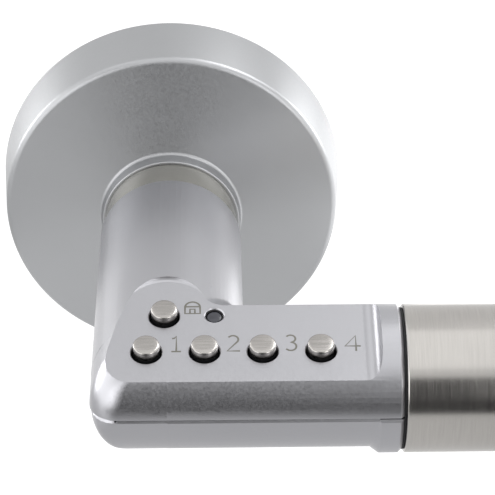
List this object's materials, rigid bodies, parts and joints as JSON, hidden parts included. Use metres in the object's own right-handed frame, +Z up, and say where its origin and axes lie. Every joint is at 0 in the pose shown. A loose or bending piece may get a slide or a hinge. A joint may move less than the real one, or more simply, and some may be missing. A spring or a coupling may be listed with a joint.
{
  "type": "keypad lever lock",
  "caption": "Door lever with digit buttons in its elbow: a sprung round rose, a tilted keypad body, a tube grip with cells inside and a clutched square spindle.",
  "frame": {"origin": "centre of the rose's back, on the door face and on the spindle's axis", "axes": "+Y into the door along the spindle, +Z up, +X along the grip at rest"},
  "size_m": [0.1544, 0.1245, 0.0568],
  "materials": {
    "silver_paint": "satin metallic silver lacquer",
    "zinc": "bare die-cast zinc",
    "brushed_steel": "brushed stainless steel",
    "spring_steel": "drawn spring wire",
    "screw_steel": "plain steel",
    "motor_case": "plated steel",
    "spindle_steel": "drawn zinc-plated bar",
    "button_steel": "turned stainless steel",
    "brass": "turned brass",
    "black_plastic": "moulded, matt black",
    "rubber": "soft black rubber",
    "board": "green solder mask",
    "dark_lens": "smoked clear plastic",
    "led_plastic": "moulded off-white",
    "cell": "sleeved lithium cell"
  },
  "bodies": {
    "rose": {"rose_cover": "silver_paint", "rose_base": "zinc", "bearing_bush": "brushed_steel", "return_spring": "spring_steel"},
    "lever": {"keypad_housing": "silver_paint", "lower_cover": "silver_paint", "cover_screws": "screw_steel", "neck_shank": "zinc", "shank_screw": "screw_steel", "return_cam": "zinc", "retaining_ring": "spring_steel", "circuit_board": "board", "key_switches": "black_plastic", "keypad_mat": "rubber", "status_lens": "dark_lens", "status_led": "led_plastic", "sounder": "black_plastic", "battery_socket": "led_plastic", "clutch_mount": "black_plastic", "clutch_motor": "motor_case", "grip_gasket": "rubber", "grip_tube": "brushed_steel", "grip_screws": "screw_steel", "battery_carrier": "black_plastic", "battery_1": "cell", "battery_2": "cell", "contact_plate": "brass", "contact_spring": "spring_steel", "end_cap": "brushed_steel", "cap_seal": "rubber"},
    "spindle": {"spindle": "spindle_steel", "spindle_hub": "brass"},
    "clutch_screw": {"clutch_screw": "brass"},
    "clutch_pin": {"clutch_pin": "screw_steel"},
    "button_lock": {"button_lock": "button_steel"},
    "button_1": {"button_1": "button_steel"},
    "button_2": {"button_2": "button_steel"},
    "button_3": {"button_3": "button_steel"},
    "button_4": {"button_4": "button_steel"}
  },
  "joints": [
    {"name": "lever_turn", "type": "hinge", "parent": "rose", "child": "lever", "pos_m": [0, 0, 0], "axis": [0, 1, 0], "range_deg": [-45, 45], "stiffness_Nm_per_rad": 2, "springref_deg": -2.75, "deforming": ["return_spring"]},
    {"name": "spindle_turn", "type": "hinge", "parent": "rose", "child": "spindle", "pos_m": [0, 0, 0], "axis": [0, 1, 0], "range_deg": [-45, 45]},
    {"name": "clutch_screw_turn", "type": "hinge", "parent": "lever", "child": "clutch_screw", "pos_m": [-0.00396, -0.043, -0.00396], "axis": [0, -1, 0], "range_deg": [0, 1440]},
    {"name": "clutch_pin_slide", "type": "slide", "parent": "lever", "child": "clutch_pin", "axis": [0, -1, 0], "range_m": [0, 0.003]},
    {"name": "button_lock_press", "type": "slide", "parent": "lever", "child": "button_lock", "axis": [0, 0.2419, -0.9703], "range_m": [0, 0.0008], "stiffness_N_per_m": 1500, "springref_m": -0.0006, "deforming": ["keypad_mat"]},
    {"name": "button_1_press", "type": "slide", "parent": "lever", "child": "button_1", "axis": [0, 0.2419, -0.9703], "range_m": [0, 0.0008], "stiffness_N_per_m": 1500, "springref_m": -0.0006, "deforming": ["keypad_mat"]},
    {"name": "button_2_press", "type": "slide", "parent": "lever", "child": "button_2", "axis": [0, 0.2419, -0.9703], "range_m": [0, 0.0008], "stiffness_N_per_m": 1500, "springref_m": -0.0006, "deforming": ["keypad_mat"]},
    {"name": "button_3_press", "type": "slide", "parent": "lever", "child": "button_3", "axis": [0, 0.2419, -0.9703], "range_m": [0, 0.0008], "stiffness_N_per_m": 1500, "springref_m": -0.0006, "deforming": ["keypad_mat"]},
    {"name": "button_4_press", "type": "slide", "parent": "lever", "child": "button_4", "axis": [0, 0.2419, -0.9703], "range_m": [0, 0.0008], "stiffness_N_per_m": 1500, "springref_m": -0.0006, "deforming": ["keypad_mat"]}
  ],
  "couplings": [
    {"joint": "spindle_turn", "follows": "lever_turn", "ratio": 1},
    {"joint": "clutch_screw_turn", "follows": "clutch_pin_slide", "rad_per_m": 8377}
  ]
}
